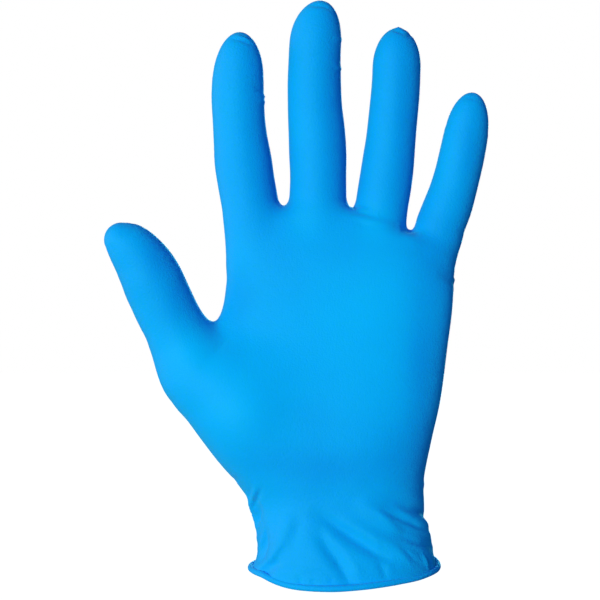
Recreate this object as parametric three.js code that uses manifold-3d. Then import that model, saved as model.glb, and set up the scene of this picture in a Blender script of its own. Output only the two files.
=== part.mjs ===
// A disposable nitrile exam glove, in the form it keeps on an open left hand.
// Millimetres. +Z runs up the middle finger, -Y is the palm side and -X the thumb side.
// The origin is the middle of the cuff's opening. The glove is one dipped film, hollow from
// the opening to the fingertips, with its edge rolled outwards into a bead.
import * as THREE from "three";
import { mergeVertices } from "three/addons/utils/BufferGeometryUtils.js";
import Module from "manifold-3d";

// The film and its rolled edge
const filmWall = 1; // drawn at ten times the real 0.1, so that the film holds as a solid
const beadDiameter = 2.6;

// The cuff: its opening is measured across the middle of the bead
const cuffWidth = 76; // thumb side to little-finger side
const cuffDepth = 50; // palm side to back
const cuffHeight = 28; // middle of the opening to the narrowest place of the wrist
const cuffPuckers = 3; // how far the deepest gathers of the cuff stand in or out

// The wrist and the palm
const wristWidth = 71.5;
const wristDepth = 40;
const palmHeight = 118; // wrist to the webs between the fingers
const palmWidth = 96; // across the knuckles
const palmDepth = 29; // at the knuckles
const thumbWebRadius = 12; // how softly the thumb runs into the palm
const fingerWebRadius = 5; // how softly the fingers do
const creaseDepth = 1.2; // the folds beside the ring and little fingers

// A finger runs from the line of the webs to its tip. Lean is in degrees, away from the thumb.
const indexFinger = { length: 69.8, width: 23.4, lean: -3.8 };
const middleFinger = { length: 82.9, width: 23.9, lean: 1.3 };
const ringFinger = { length: 72.4, width: 21.7, lean: 5.3 };
const littleFinger = { length: 54.6, width: 20.7, lean: 13.4 };
const thumb = { length: 58, width: 26.4, lean: -28.4 };
const fingerDepth = 0.88; // of its width
const fingerBury = 22; // how far a finger's form reaches down into the palm

// Half outlines of the column from below the opening up to the webs. Heights are shares of the
// named height, and the four reaches are shares of the named width and depth from the Z axis.
const column = [
  ["part", "height", "thumbSide", "littleSide", "palmSide", "backSide"],
  ["cuff", -0.8, -0.486, 0.486, -0.482, 0.482],
  ["cuff", 0.0, -0.486, 0.486, -0.482, 0.482],
  ["cuff", 0.1, -0.471, 0.485, -0.476, 0.476],
  ["cuff", 0.24, -0.463, 0.472, -0.466, 0.466],
  ["cuff", 0.6, -0.474, 0.436, -0.43, 0.43],
  ["wrist", 0.0, -0.511, 0.451, -0.5, 0.49],
  ["palm", 0.06, -0.4, 0.335, -0.7, 0.65],
  ["palm", 0.19, -0.44, 0.365, -0.74, 0.61],
  ["palm", 0.33, -0.493, 0.403, -0.69, 0.57],
  ["palm", 0.5, -0.531, 0.432, -0.58, 0.53],
  ["palm", 0.7, -0.503, 0.46, -0.5, 0.5],
  ["palm", 0.85, -0.481, 0.444, -0.44, 0.47],
  ["palm", 1.0, -0.459, 0.457, -0.28, 0.34],
  ["palm", 1.1, -0.44, 0.45, -0.12, 0.18],
];
const columnRoundness = 2.35; // 2 is an ellipse, and more fills its corners out

// Where the palm ends between the fingers: shares of palmWidth and palmHeight
const webLine = [
  ["across", "height"],
  [-0.6, 0.968],
  [-0.1, 1.003],
  [0.05, 0.984],
  [0.22, 0.92],
  [0.34, 0.89],
  [0.55, 0.794],
];

// Where a finger stands on the line of the webs (shares of palmWidth and palmHeight), its curl
// towards the palm (share of its length), and how long its tip is drawn out (share of its half
// width)
const fingers = [
  ["name", "size", "across", "height", "curl", "tipReach"],
  ["index", indexFinger, -0.398, 1.004, 0.12, 1.91],
  ["middle", middleFinger, -0.112, 1.0, 0.1, 1.67],
  ["ring", ringFinger, 0.158, 0.997, 0.12, 1.62],
  ["little", littleFinger, 0.409, 0.938, 0.15, 1.96],
];

// Widths along a finger, as shares of its width, for each share of its length
const fingerGirth = [
  ["along", "index", "middle", "ring", "little"],
  [-0.3, 0.866, 0.88, 0.88, 0.849],
  [-0.1, 0.961, 0.95, 0.969, 0.959],
  [0.0, 0.982, 0.971, 0.977, 0.957],
  [0.14, 0.987, 0.948, 0.982, 0.949],
  [0.26, 0.989, 0.969, 0.962, 0.913],
  [0.38, 0.933, 0.951, 0.922, 0.891],
  [0.5, 0.902, 0.913, 0.908, 0.884],
  [0.62, 0.905, 0.897, 0.902, 0.87],
  [0.74, 0.884, 0.872, 0.89, 0.846],
  [1.0, 0.877, 0.866, 0.888, 0.832],
];

// How far a finger bows away from the thumb, as shares of its length
const fingerBow = [
  ["along", "index", "middle", "ring", "little"],
  [0.0, 0.0, 0.0, 0.0, 0.0],
  [0.17, -0.018, -0.002, 0.011, 0.023],
  [0.34, -0.029, -0.011, 0.016, 0.033],
  [0.5, -0.033, -0.026, 0.017, 0.033],
  [0.67, -0.028, -0.032, 0.016, 0.026],
  [0.84, -0.008, -0.027, 0.006, 0.014],
  [1.0, 0.01, 0.005, -0.004, 0.005],
];

// The thumb and the ball at its root: places are shares of palmWidth, palmDepth and palmHeight
// for its base and of its own length beyond it, and the girth is a share of its width.
const thumbBase = { across: -0.68, forward: -0.3, height: 0.52 };
const thumbPath = [
  ["along", "sideways", "forward", "girth"],
  [-1.1, 0.242, 0.1, 1.202],
  [-0.954, 0.191, 0.07, 1.324],
  [-0.768, 0.152, 0.03, 1.416],
  [-0.604, 0.132, 0.0, 1.433],
  [-0.417, 0.069, -0.01, 1.277],
  [-0.231, -0.016, -0.01, 1.081],
  [0.03, 0.002, 0.0, 0.968],
  [0.38, 0.027, -0.04, 0.932],
  [0.52, 0.035, -0.06, 0.932],
  [0.64, 0.036, -0.08, 0.845],
  [0.77, 0.017, -0.11, 0.707],
  [0.845, -0.015, -0.135, 0.516],
];

// How softly the thumb runs into the palm, as shares of thumbWebRadius over the palm's height
const thumbBlend = [
  ["height", "softness"],
  [0.0, 1.0],
  [0.25, 1.0],
  [0.47, 1.5],
  [0.6, 1.12],
  [0.8, 0.51],
];

// Gathers of the cuff, in the order thumb side, palm, little-finger side, back. Each runs from
// one place to another, given in degrees round the cuff (0 the palm, 90 the little finger) and
// shares of cuffHeight. Width is a share of cuffHeight, and rise of cuffPuckers.
const gathers = [
  ["from", "fromHeight", "to", "toHeight", "width", "rise"],
  [-82, 1.0, -92, 0.6, 0.12, -0.5],
  [-70, 0.98, -84, 0.62, 0.13, 0.5],
  [-60, 0.9, -80, 0.6, 0.12, -0.6],
  [-58, 0.62, -66, 0.14, 0.13, -0.5],
  [-42, 0.72, -60, 0.2, 0.17, 0.7],
  [-46, 0.1, -60, -0.06, 0.12, -0.6],
  [-13, 0.76, 26, 0.21, 0.17, -0.7],
  [-16, 0.52, 3, -0.12, 0.15, -0.5],
  [15, 0.96, 38, 0.6, 0.17, 0.45],
  [4, 0.66, 44, 0.2, 0.16, 0.35],
  [36, 0.82, 84, 0.46, 0.14, -0.6],
  [44, 0.92, 92, 0.6, 0.13, 0.55],
  [54, 0.6, 96, 0.32, 0.13, 0.5],
  [44, 0.5, 64, 0.12, 0.14, -0.5],
  [118, 0.9, 146, 0.3, 0.17, -0.6],
  [136, 0.95, 166, 0.25, 0.17, 0.5],
  [-172, 0.85, -178, 0.3, 0.17, -0.5],
  [-122, 0.92, -152, 0.25, 0.17, -0.6],
  [-104, 0.75, -126, 0.2, 0.16, 0.5],
];

// The rim, on the middle of the bead. Around is in degrees as for the gathers, reach a share
// of the opening's half width and depth, and lift a share of cuffHeight.
const rim = [
  ["around", "reach", "lift"],
  [-180, 1.0, 0.2],
  [-150, 1.0, 0.15],
  [-120, 1.0, 0.03],
  [-90, 1.0, -0.027],
  [-74, 1.0, -0.05],
  [-61, 1.0, -0.075],
  [-52, 1.0, -0.122],
  [-43, 1.0, -0.17],
  [-34, 1.0, -0.204],
  [-22, 1.0, -0.223],
  [-8, 1.0, -0.226],
  [6, 1.0, -0.207],
  [20, 1.0, -0.175],
  [35, 1.0, -0.138],
  [50, 1.0, -0.104],
  [65, 1.0, -0.06],
  [78, 1.0, -0.03],
  [90, 1.0, 0.0],
  [110, 1.0, 0.08],
  [150, 1.0, 0.18],
  [180, 1.0, 0.2],
];

// Creases of the palm side: places are shares of palmWidth and palmHeight, width of palmWidth,
// and rise of creaseDepth. The first two pull in under the ring finger, the last at the edge.
const creases = [
  ["from", "fromHeight", "to", "toHeight", "width", "rise"],
  [0.1, 0.975, 0.26, 0.925, 0.022, -0.7],
  [0.27, 0.92, 0.33, 0.88, 0.02, -0.8],
  [0.36, 0.83, 0.47, 0.775, 0.024, -1.0],
];

// The net that the surface is drawn on. Its lines across share out the widths of the cuff, the
// palm and all fingers, and one of them runs down each web. Its rows go by shares of the height
// from the opening to the middle fingertip.
const netLines = 60.5;
const netThrough = -0.2645; // the web beside the index finger, as a share of palmWidth
const netDepthToWidth = 1.1; // of the net's meshes, from palm to back
const netRows = [
  ["upTo", "rows"],
  [0.155, 15],
  [0.53, 10],
  [0.66, 7],
  [0.79, 4],
  [1.04, 13],
];

const millimetre = 1; // the step used to feel for a slope
const colour = 0x0a9cf0;

// A table's rows as objects, by the names in its first row.
function rowsOf(table) {
  const [names, ...rows] = table;
  return rows.map((row) => Object.fromEntries(names.map((name, i) => [name, row[i]])));
}

// A smooth curve through rows of numbers that start with the place along it.
function curveThrough(rows) {
  return (at) => {
    const last = rows.length - 1;
    let i = 0;
    while (i < last - 1 && at > rows[i + 1][0]) i++;
    const [a, b] = [rows[i], rows[i + 1]];
    const span = b[0] - a[0];
    const t = THREE.MathUtils.clamp((at - a[0]) / span, 0, 1);
    const before = rows[Math.max(i - 1, 0)];
    const after = rows[Math.min(i + 2, last)];
    return a.slice(1).map((_, n) => {
      const k = n + 1;
      const slopeA = ((b[k] - before[k]) / (b[0] - before[0])) * span;
      const slopeB = ((after[k] - a[k]) / (after[0] - a[0])) * span;
      const [t2, t3] = [t * t, t * t * t];
      return (
        a[k] * (2 * t3 - 3 * t2 + 1) +
        slopeA * (t3 - 2 * t2 + t) +
        b[k] * (3 * t2 - 2 * t3) +
        slopeB * (t3 - t2)
      );
    });
  };
}

// The smaller of two distances, or the larger, with the edge between them rounded.
function softMin(a, b, radius) {
  const overlap = Math.max(radius - Math.abs(a - b), 0) / radius;
  return Math.min(a, b) - (overlap * overlap * radius) / 4;
}
const softMax = (a, b, radius) => -softMin(-a, -b, radius);

// The column of cuff, wrist and palm as one curve of its four reaches over the height
const columnParts = {
  cuff: { foot: 0, height: cuffHeight, width: cuffWidth, depth: cuffDepth },
  wrist: { foot: cuffHeight, height: palmHeight, width: wristWidth, depth: wristDepth },
  palm: { foot: cuffHeight, height: palmHeight, width: palmWidth, depth: palmDepth },
};
const columnAt = curveThrough(
  rowsOf(column).map((row) => {
    const part = columnParts[row.part];
    return [
      part.foot + row.height * part.height,
      row.thumbSide * part.width,
      row.littleSide * part.width,
      row.palmSide * part.depth,
      row.backSide * part.depth,
    ];
  }),
);
const webHeightAt = curveThrough(
  rowsOf(webLine).map((row) => [row.across * palmWidth, cuffHeight + row.height * palmHeight]),
);

// The column's middle and half sizes at a height
function sectionAt(z) {
  const [left, right, front, back] = columnAt(z);
  return {
    middleX: (left + right) / 2,
    middleY: (front + back) / 2,
    halfX: (right - left) / 2,
    halfY: (back - front) / 2,
  };
}

// How far a point lies outside the column, by the first-order rule value / slope.
function columnDistance(x, y, z) {
  const { middleX, middleY, halfX, halfY } = sectionAt(z);
  const n = columnRoundness;
  const u = Math.abs(x - middleX) / halfX;
  const v = Math.abs(y - middleY) / halfY;
  const value = Math.pow(u ** n + v ** n, 1 / n);
  if (value < 1e-6) return -Math.min(halfX, halfY);
  const slope = Math.hypot((u / value) ** (n - 1) / halfX, (v / value) ** (n - 1) / halfY);
  return (value - 1) / slope;
}

// A round limb: points with radii along a path, flattened from palm to back.
function limbDistance(limb, x, y, z) {
  let nearest = Infinity;
  for (let i = 0; i + 1 < limb.length; i++) {
    const [a, b] = [limb[i], limb[i + 1]];
    const [dx, dy, dz] = [b.x - a.x, (b.y - a.y) / fingerDepth, b.z - a.z];
    const [px, py, pz] = [x - a.x, (y - a.y) / fingerDepth, z - a.z];
    const along = (px * dx + py * dy + pz * dz) / (dx * dx + dy * dy + dz * dz);
    const t = THREE.MathUtils.clamp(along, 0, 1);
    const away = Math.hypot(px - dx * t, py - dy * t, pz - dz * t);
    nearest = Math.min(nearest, away - (a.radius + (b.radius - a.radius) * t));
  }
  return nearest;
}

// The places and radii of a finger: a bowed path from inside the palm to an egg-shaped tip.
function fingerLimb(row) {
  const { length, width, lean } = row.size;
  const lie = THREE.MathUtils.degToRad(lean);
  const base = new THREE.Vector2(
    row.across * palmWidth,
    cuffHeight + row.height * palmHeight,
  );
  const girthAt = curveThrough(rowsOf(fingerGirth).map((g) => [g.along, g[row.name]]));
  const bowAt = curveThrough(rowsOf(fingerBow).map((b) => [b.along, b[row.name]]));
  const place = (s) => {
    const share = s / length;
    const aside = bowAt(share)[0] * length;
    return {
      x: base.x + Math.sin(lie) * s + Math.cos(lie) * aside,
      y: palmDepth * 0.03 - row.curl * length * share * Math.abs(share),
      z: base.y + Math.cos(lie) * s - Math.sin(lie) * aside,
      radius: (girthAt(share)[0] * width) / 2,
    };
  };
  // An egg-shaped tip is a row of balls that shrink towards the end.
  const halfTip = (girthAt(1)[0] * width) / 2;
  const reach = row.tipReach * halfTip;
  const ballRun = (reach * reach - halfTip * halfTip) / reach;
  const shaft = length - reach;
  const steps = 12;
  const limb = [];
  for (let i = 0; i <= steps; i++) {
    limb.push(place(-fingerBury + ((shaft + fingerBury) * i) / steps));
  }
  const balls = 5;
  for (let i = 1; i <= balls; i++) {
    const s = (ballRun * i) / balls;
    const shrink = Math.sqrt(1 - (s * s) / (reach * reach - halfTip * halfTip));
    limb.push({ ...place(shaft + s), radius: halfTip * shrink });
  }
  return limb;
}

function thumbLimb() {
  const lie = THREE.MathUtils.degToRad(thumb.lean);
  const rows = rowsOf(thumbPath);
  const along = curveThrough(rows.map((r) => [r.along, r.sideways, r.forward, r.girth]));
  const [first, last] = [rows[0].along, rows[rows.length - 1].along];
  const steps = 22;
  return Array.from({ length: steps + 1 }, (_, i) => {
    const share = first + ((last - first) * i) / steps;
    const [sideways, forward, girth] = along(share);
    const [s, aside] = [share * thumb.length, sideways * thumb.length];
    return {
      x: thumbBase.across * palmWidth + Math.sin(lie) * s + Math.cos(lie) * aside,
      y: thumbBase.forward * palmDepth + forward * thumb.length,
      z: cuffHeight + thumbBase.height * palmHeight + Math.cos(lie) * s - Math.sin(lie) * aside,
      radius: (girth * thumb.width) / 2,
    };
  });
}

// How much a line of folds lifts the surface at a place, both in the line's own flat map.
function foldLift(folds, u, v) {
  let lift = 0;
  for (const { from, to, width, rise } of folds) {
    const [du, dv] = [to[0] - from[0], to[1] - from[1]];
    const t = ((u - from[0]) * du + (v - from[1]) * dv) / (du * du + dv * dv);
    if (t < -0.2 || t > 1.2) continue;
    const away = Math.abs((u - from[0]) * dv - (v - from[1]) * du) / Math.hypot(du, dv);
    if (away > width * 2) continue;
    const fade = Math.sin(Math.PI * THREE.MathUtils.clamp((t + 0.2) / 1.4, 0, 1));
    lift += rise * fade * Math.exp(-2 * (away / width) ** 2);
  }
  return lift;
}

// The gathers in a map of the cuff rolled out flat, and the creases in the plane of the palm
const cuffRadius = (cuffWidth + cuffDepth) / 4;
const gatherLines = rowsOf(gathers).map((row) => ({
  from: [THREE.MathUtils.degToRad(row.from) * cuffRadius, row.fromHeight * cuffHeight],
  to: [THREE.MathUtils.degToRad(row.to) * cuffRadius, row.toHeight * cuffHeight],
  width: row.width * cuffHeight,
  rise: row.rise * cuffPuckers,
}));
const creaseLines = rowsOf(creases).map((row) => ({
  from: [row.from * palmWidth, cuffHeight + row.fromHeight * palmHeight],
  to: [row.to * palmWidth, cuffHeight + row.toHeight * palmHeight],
  width: row.width * palmWidth,
  rise: row.rise * creaseDepth,
}));

function folds(x, y, z) {
  const palmSide = y < 0 ? foldLift(creaseLines, x, z) : 0;
  if (z > cuffHeight * 1.3) return palmSide;
  const { middleX, middleY, halfX, halfY } = sectionAt(z);
  const round = Math.atan2((x - middleX) / halfX, -(y - middleY) / halfY) * cuffRadius;
  const turn = 2 * Math.PI * cuffRadius;
  return (
    palmSide +
    foldLift(gatherLines, round, z) +
    foldLift(gatherLines, round + turn, z) +
    foldLift(gatherLines, round - turn, z)
  );
}

const fingerLimbs = rowsOf(fingers).map(fingerLimb);
const thumbLine = thumbLimb();
const thumbBlendAt = curveThrough(
  rowsOf(thumbBlend).map((row) => [
    cuffHeight + row.height * palmHeight,
    row.softness * thumbWebRadius,
  ]),
);

// The whole form: negative inside the glove's outer face, in millimetres near it.
function gloveForm(x, y, z) {
  const palm = softMax(columnDistance(x, y, z), z - webHeightAt(x)[0], fingerWebRadius);
  let form = softMin(palm, limbDistance(thumbLine, x, y, z), thumbBlendAt(z)[0]);
  let spread = Infinity;
  for (const limb of fingerLimbs) {
    spread = softMin(spread, limbDistance(limb, x, y, z), fingerWebRadius / 3);
  }
  form = softMin(form, spread, fingerWebRadius);
  return form - folds(x, y, z);
}

// The uphill direction of the form at a point, with its length
function slopeAt(p) {
  const h = millimetre / 4;
  return new THREE.Vector3(
    gloveForm(p.x + h, p.y, p.z) - gloveForm(p.x - h, p.y, p.z),
    gloveForm(p.x, p.y + h, p.z) - gloveForm(p.x, p.y - h, p.z),
    gloveForm(p.x, p.y, p.z + h) - gloveForm(p.x, p.y, p.z - h),
  ).divideScalar(2 * h);
}

// Evenly spaced lines from one place to another
function lines(from, to, spacing) {
  const count = Math.ceil((to - from) / spacing - 1e-6);
  return Array.from({ length: count + 1 }, (_, i) => from + ((to - from) * i) / count);
}

// The net reaches past the glove on every side, with its rows as the table says.
const limbEnds = [...fingerLimbs, thumbLine].flat();
const netFoot = -cuffHeight * 0.75;
const gloveHeight = cuffHeight + palmHeight + middleFinger.length;
const fingerWidths = [thumb, ...rowsOf(fingers).map((row) => row.size)].map((f) => f.width);
const netAcross = fingerWidths.reduce((sum, w) => sum + w, cuffWidth + palmWidth) / netLines;
const netDeep = netAcross * netDepthToWidth;
const netMargin = 3 * netAcross;
const webX = netThrough * palmWidth;
const leftmost = Math.min(...limbEnds.map((p) => p.x - p.radius)) - netMargin;
const rightmost = Math.max(...limbEnds.map((p) => p.x + p.radius)) + netMargin;
const netX = lines(
  webX - netAcross * Math.ceil((webX - leftmost) / netAcross),
  webX + netAcross * Math.ceil((rightmost - webX) / netAcross),
  netAcross,
);
const deepest = Math.max(cuffDepth, wristDepth, palmDepth * 1.6) / 2;
const netY = lines(-deepest - thumb.width / 2 - netMargin, deepest + netMargin, netDeep);
const netZ = rowsOf(netRows).reduce(
  (heights, { upTo, rows }) => {
    const start = heights[heights.length - 1];
    const spacing = (upTo * gloveHeight - start) / rows;
    return [...heights.slice(0, -1), ...lines(start, upTo * gloveHeight, spacing)];
  },
  [netFoot],
);

// Fills in the corners that would leave two sheets of the net touching along one edge.
function tidyCorners(inside, size, index) {
  const [nx, ny, nz] = size;
  let changed = true;
  const faces = [
    [[0, 0, 0], [1, 0, 0], [1, 1, 0], [0, 1, 0]],
    [[0, 0, 0], [1, 0, 0], [1, 0, 1], [0, 0, 1]],
    [[0, 0, 0], [0, 1, 0], [0, 1, 1], [0, 0, 1]],
  ];
  while (changed) {
    changed = false;
    for (let k = 1; k < nz - 2; k++) {
      for (let j = 1; j < ny - 2; j++) {
        for (let i = 1; i < nx - 2; i++) {
          for (const face of faces) {
            const c = face.map(([a, b, d]) => index(i + a, j + b, k + d));
            const [p, q, r, s] = c.map((n) => inside[n]);
            if (p !== r || q !== s || p === q) continue;
            inside[p ? c[1] : c[0]] = 1;
            changed = true;
          }
        }
      }
    }
  }
}

// One vertex in each cell that the surface passes through, and one quad round each crossed edge.
function netSurface() {
  const size = [netX.length, netY.length, netZ.length];
  const [nx, ny, nz] = size;
  const index = (i, j, k) => (k * ny + j) * nx + i;
  const value = new Float64Array(nx * ny * nz);
  const inside = new Uint8Array(nx * ny * nz);
  for (let k = 0; k < nz; k++) {
    for (let j = 0; j < ny; j++) {
      for (let i = 0; i < nx; i++) {
        const n = index(i, j, k);
        value[n] = gloveForm(netX[i], netY[j], netZ[k]);
        const onRim = !i || !j || !k || i === nx - 1 || j === ny - 1 || k === nz - 1;
        inside[n] = value[n] < 0 && !onRim ? 1 : 0;
      }
    }
  }
  tidyCorners(inside, size, index);

  const cellVertex = new Map();
  const vertices = [];
  const edges = [];
  for (let c = 0; c < 8; c++) {
    for (const step of [1, 2, 4]) {
      if (!(c & step)) edges.push([c, c | step]);
    }
  }
  for (let k = 0; k < nz - 1; k++) {
    for (let j = 0; j < ny - 1; j++) {
      for (let i = 0; i < nx - 1; i++) {
        const corner = (c) => [i + (c & 1), j + ((c >> 1) & 1), k + (c >> 2)];
        const sum = new THREE.Vector3();
        let crossings = 0;
        for (const [a, b] of edges) {
          const [ca, cb] = [corner(a), corner(b)];
          const [na, nb] = [index(...ca), index(...cb)];
          if (inside[na] === inside[nb]) continue;
          const span = value[na] - value[nb];
          const t = value[na] * value[nb] < 0 ? value[na] / span : 0.5;
          const [pa, pb] = [ca, cb].map(
            (p) => new THREE.Vector3(netX[p[0]], netY[p[1]], netZ[p[2]]),
          );
          sum.add(pa.lerp(pb, t));
          crossings++;
        }
        if (!crossings) continue;
        cellVertex.set(index(i, j, k), vertices.length);
        vertices.push(sum.divideScalar(crossings));
      }
    }
  }

  const quads = [];
  const round = [
    { step: [1, 0, 0], cells: [[0, 0, 0], [0, -1, 0], [0, -1, -1], [0, 0, -1]] },
    { step: [0, 1, 0], cells: [[0, 0, 0], [0, 0, -1], [-1, 0, -1], [-1, 0, 0]] },
    { step: [0, 0, 1], cells: [[0, 0, 0], [-1, 0, 0], [-1, -1, 0], [0, -1, 0]] },
  ];
  for (let k = 0; k < nz - 1; k++) {
    for (let j = 0; j < ny - 1; j++) {
      for (let i = 0; i < nx - 1; i++) {
        for (const { step, cells } of round) {
          const here = inside[index(i, j, k)];
          const there = inside[index(i + step[0], j + step[1], k + step[2])];
          if (here === there) continue;
          const quad = cells.map(([a, b, c]) => cellVertex.get(index(i + a, j + b, k + c)));
          quads.push(here ? quad : quad.reverse());
        }
      }
    }
  }
  return { vertices, quads };
}

// Evens out the net along the surface and draws each vertex onto it.
function settle({ vertices, quads }, rounds) {
  const neighbours = vertices.map(() => new Set());
  for (const quad of quads) {
    quad.forEach((v, n) => {
      neighbours[v].add(quad[(n + 1) % 4]);
      neighbours[quad[(n + 1) % 4]].add(v);
    });
  }
  const openEnd = netZ[1];
  for (let turn = 0; turn < rounds; turn++) {
    const moved = vertices.map((vertex, v) => {
      const middle = new THREE.Vector3();
      for (const n of neighbours[v]) middle.add(vertices[n]);
      middle.divideScalar(neighbours[v].size);
      const point = vertex.clone().lerp(middle, 0.5);
      if (vertex.z < openEnd) return point.setZ(vertex.z);
      for (let pass = 0; pass < 2; pass++) {
        const slope = slopeAt(point);
        const step = gloveForm(point.x, point.y, point.z) / Math.max(slope.lengthSq(), 0.3);
        point.addScaledVector(slope, -THREE.MathUtils.clamp(step, -millimetre, millimetre));
      }
      return point;
    });
    moved.forEach((point, v) => vertices[v].copy(point));
  }
}

// Each quad as two triangles, split along the diagonal whose middle keeps nearer to the form
function trianglesOf(vertices, quads) {
  const awayBetween = (p, q) => {
    const middle = vertices[p].clone().lerp(vertices[q], 0.5);
    return Math.abs(gloveForm(middle.x, middle.y, middle.z));
  };
  return quads.flatMap(([a, b, c, d]) =>
    awayBetween(a, c) < awayBetween(b, d) ? [a, b, c, a, c, d] : [a, b, d, b, c, d],
  );
}

function geometryOf(vertices, triangles) {
  const geometry = new THREE.BufferGeometry();
  geometry.setAttribute(
    "position",
    new THREE.Float32BufferAttribute(vertices.flatMap((v) => v.toArray()), 3),
  );
  geometry.setIndex(triangles);
  return geometry;
}

// The same net moved inwards by the film's wall
function innerVertices(vertices, triangles) {
  const geometry = geometryOf(vertices, triangles);
  geometry.computeVertexNormals();
  const normals = geometry.getAttribute("normal");
  return vertices.map((vertex, v) =>
    vertex.clone().addScaledVector(new THREE.Vector3().fromBufferAttribute(normals, v), -filmWall),
  );
}

// The middle of the bead: a place on the rim, or further out on the same height
const rimAt = curveThrough(rowsOf(rim).map((row) => [row.around, row.reach, row.lift]));
function rimPoint(turn, outwards = 1) {
  const around = THREE.MathUtils.radToDeg(Math.atan2(Math.sin(turn), Math.cos(turn)));
  const [reach, lift] = rimAt(around);
  return new THREE.Vector3(
    (Math.sin(turn) * reach * outwards * cuffWidth) / 2,
    (-Math.cos(turn) * reach * outwards * cuffDepth) / 2,
    lift * cuffHeight,
  );
}

// A ring of sections swept round a full turn; pointAt gives each section's points in order.
function sweptRing(turns, sides, pointAt) {
  const vertices = [];
  const triangles = [];
  for (let i = 0; i < turns; i++) {
    for (let j = 0; j < sides; j++) {
      vertices.push(pointAt((i / turns) * 2 * Math.PI, j / sides));
      const [a, b] = [i * sides + j, i * sides + ((j + 1) % sides)];
      const [c, d] = [a, b].map((n) => (n + sides) % (turns * sides));
      triangles.push(a, c, d, a, d, b);
    }
  }
  return geometryOf(vertices, triangles);
}

const beadTurns = 48;
const beadSides = 8;
function bead() {
  return sweptRing(beadTurns, beadSides, (turn, share) => {
    const middle = rimPoint(turn);
    const outwards = new THREE.Vector3(middle.x, middle.y, 0).normalize();
    const around = share * 2 * Math.PI;
    return middle
      .addScaledVector(outwards, (Math.cos(around) * beadDiameter) / 2)
      .add(new THREE.Vector3(0, 0, (Math.sin(around) * beadDiameter) / 2));
  });
}

// Everything under the rim: a wide round block whose top runs up and down as the rim does.
function underRim() {
  const floor = -2 * cuffHeight;
  const vertices = [new THREE.Vector3(0, 0, 0), new THREE.Vector3(0, 0, floor)];
  const triangles = [];
  for (let i = 0; i < beadTurns; i++) {
    const turn = (i / beadTurns) * 2 * Math.PI;
    const out = rimPoint(turn, 2);
    vertices.push(rimPoint(turn), out, out.clone().setZ(floor));
    const [a, b, c] = [2, 3, 4].map((n) => n + i * 3);
    const [d, e, f] = [2, 3, 4].map((n) => n + ((i + 1) % beadTurns) * 3);
    triangles.push(0, a, d, a, b, d, d, b, e, b, c, e, e, c, f, c, 1, f);
  }
  return geometryOf(vertices, triangles);
}

const wasm = await Module();
wasm.setup();

function solidOf(geometry) {
  const bare = geometry.clone();
  bare.deleteAttribute("normal");
  bare.deleteAttribute("uv");
  const merged = mergeVertices(bare, 1e-4);
  return new wasm.Manifold(
    new wasm.Mesh({
      numProp: 3,
      vertProperties: new Float32Array(merged.getAttribute("position").array),
      triVerts: new Uint32Array(merged.index.array),
    }),
  );
}

function geometryFrom(solid) {
  const mesh = solid.getMesh();
  const geometry = new THREE.BufferGeometry();
  geometry.setAttribute("position", new THREE.BufferAttribute(mesh.vertProperties, mesh.numProp));
  geometry.setIndex(new THREE.BufferAttribute(mesh.triVerts, 1));
  return geometry;
}

// The film: the outer form less the inner one, open below, with the bead on its edge.
function gloveGeometry() {
  const net = netSurface();
  settle(net, 8);
  const triangles = trianglesOf(net.vertices, net.quads);
  const outer = solidOf(geometryOf(net.vertices, triangles));
  const inner = solidOf(geometryOf(innerVertices(net.vertices, triangles), triangles));
  const film = outer.subtract(inner).subtract(solidOf(underRim()));
  return geometryFrom(film.add(solidOf(bead())));
}

const nitrile = new THREE.MeshStandardMaterial({ color: colour, roughness: 0.45, metalness: 0 });
const glove = new THREE.Mesh(gloveGeometry(), nitrile);
glove.name = "glove";

const group = new THREE.Group();
group.add(glove);

export default group;
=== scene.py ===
# A blue nitrile exam glove in the form that it keeps on an open left hand.
# +Z runs up the middle finger, -Y is the palm side and -X the thumb side.
# The film is worked out in millimetres, and its meshes are made in metres.
import math

import bpy
import numpy as np
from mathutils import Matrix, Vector


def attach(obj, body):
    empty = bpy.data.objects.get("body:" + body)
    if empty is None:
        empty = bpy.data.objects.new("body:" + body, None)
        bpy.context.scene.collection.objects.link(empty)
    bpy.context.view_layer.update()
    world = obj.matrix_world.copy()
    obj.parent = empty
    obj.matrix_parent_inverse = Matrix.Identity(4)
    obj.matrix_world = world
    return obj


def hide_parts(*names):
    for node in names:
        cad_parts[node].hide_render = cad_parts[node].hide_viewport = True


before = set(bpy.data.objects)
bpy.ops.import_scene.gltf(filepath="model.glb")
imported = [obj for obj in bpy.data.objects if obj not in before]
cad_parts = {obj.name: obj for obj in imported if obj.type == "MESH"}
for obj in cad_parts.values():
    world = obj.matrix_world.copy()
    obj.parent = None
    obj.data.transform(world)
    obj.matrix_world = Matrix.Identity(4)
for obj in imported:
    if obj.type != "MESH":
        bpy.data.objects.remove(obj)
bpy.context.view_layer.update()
print("frame: the packed glove is loaded")

metre = 0.001  # of a millimetre
far = 99.0  # stands for any distance that no longer matters

# Sizes of the film as in the solid that it replaces, in millimetres unless a note says more
film = {
    "wall": 1.0,  # drawn at ten times the real one
    "cuffWidth": 76.0,  # across the middle of the bead
    "cuffDepth": 50.0,
    "cuffHeight": 28.0,
    "puckers": 3.0,  # how far the deepest gathers stand in or out
    "wristWidth": 71.5,
    "wristDepth": 40.0,
    "palmHeight": 118.0,
    "palmWidth": 96.0,
    "palmDepth": 29.0,
    "thumbWeb": 18.0,  # how softly the thumb runs into the palm
    "fingerWeb": 5.0,
    "creaseDepth": 1.2,
    "fingerDepth": 0.88,  # of a finger's width
    "fingerBury": 22.0,  # how far a finger's form reaches into the palm
    "fingersBack": 0.03,  # where the fingers' roots lie, as a share of the palm's depth
    "skin": 0.1,  # how far the film stands off the form
}

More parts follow.
